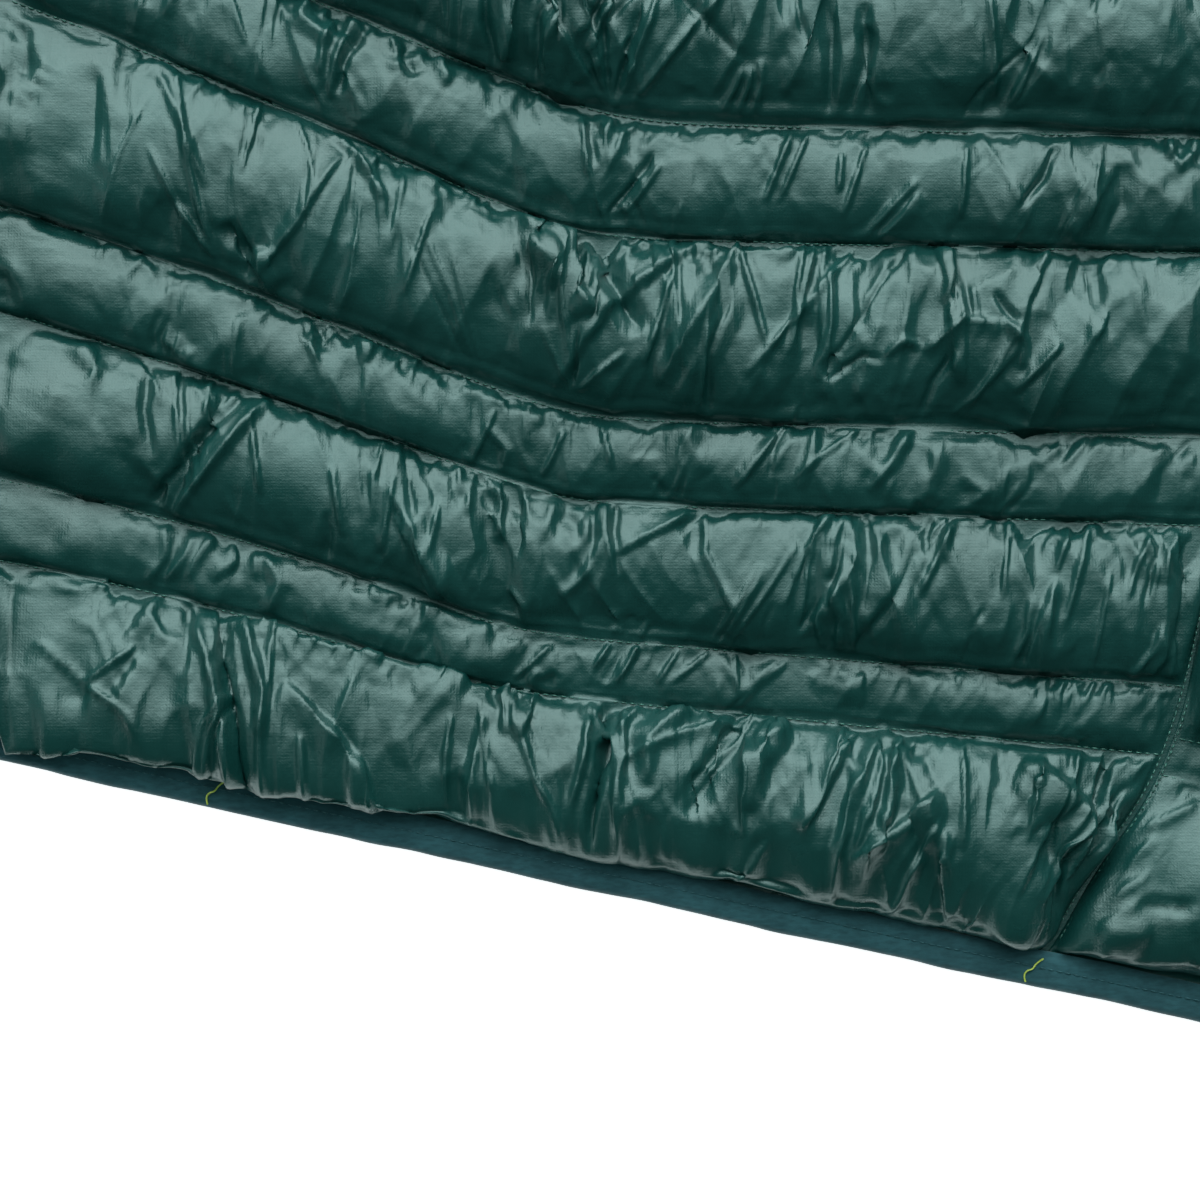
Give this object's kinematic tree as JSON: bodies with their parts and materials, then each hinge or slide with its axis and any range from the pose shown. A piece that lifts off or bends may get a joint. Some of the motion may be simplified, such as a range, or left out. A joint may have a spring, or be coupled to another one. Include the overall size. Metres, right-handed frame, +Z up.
{
  "type": "camp quilt",
  "caption": "Tapered sewn-through down camp quilt with U-shaped baffles, a bell-shaped foot gusset and bound edges, folding in half at its middle seam.",
  "frame": {"origin": "middle of the quilt's outline on the ground, under the liner", "axes": "+Y from the foot hem to the head edge, +Z up through the outer shell, +X across"},
  "size_m": [1.35, 1.95, 0.0303],
  "materials": {
    "shell_nylon": "satin",
    "liner_nylon": "satin",
    "binding_tape": "matte",
    "down": "matte",
    "seam_thread": "matte",
    "tail_thread": "matte"
  },
  "bodies": {
    "foot_half": {"binding_hem": "binding_tape", "binding_left_foot": "binding_tape", "binding_right_foot": "binding_tape", "down_01_gusset": "down", "down_01_left": "down", "down_01_right": "down", "down_02_gusset": "down", "down_02_left": "down", "down_02_right": "down", "down_03_gusset": "down", "down_03_left": "down", "down_03_right": "down", "down_04": "down", "down_05": "down", "down_06": "down", "down_07": "down", "down_08": "down", "down_09": "down", "down_10": "down", "down_11": "down", "down_12": "down", "down_13": "down", "down_14": "down", "down_15": "down", "down_16": "down", "down_17": "down", "down_18": "down", "down_19": "down", "foot_gusset_liner": "liner_nylon", "foot_gusset_shell": "shell_nylon", "gusset_thread_left": "seam_thread", "gusset_thread_right": "seam_thread", "liner_foot": "liner_nylon", "outer_shell_foot": "shell_nylon", "thread_tail_inner": "tail_thread", "thread_tail_outer": "tail_thread"},
    "head_half": {"binding_head": "binding_tape", "binding_left_head": "binding_tape", "binding_right_head": "binding_tape", "down_20": "down", "down_21": "down", "down_22": "down", "down_23": "down", "down_24": "down", "down_25": "down", "down_26": "down", "down_27": "down", "down_28": "down", "down_29": "down", "down_30": "down", "down_31": "down", "down_32": "down", "down_33": "down", "down_34": "down", "down_35": "down", "down_36": "down", "liner_head": "liner_nylon", "outer_shell_head": "shell_nylon"}
  },
  "joints": [
    {"name": "fold", "type": "hinge", "parent": "foot_half", "child": "head_half", "pos_m": [0, 0.02345, 0.031], "axis": [1, 0, 0], "range_deg": [0, 180]}
  ]
}
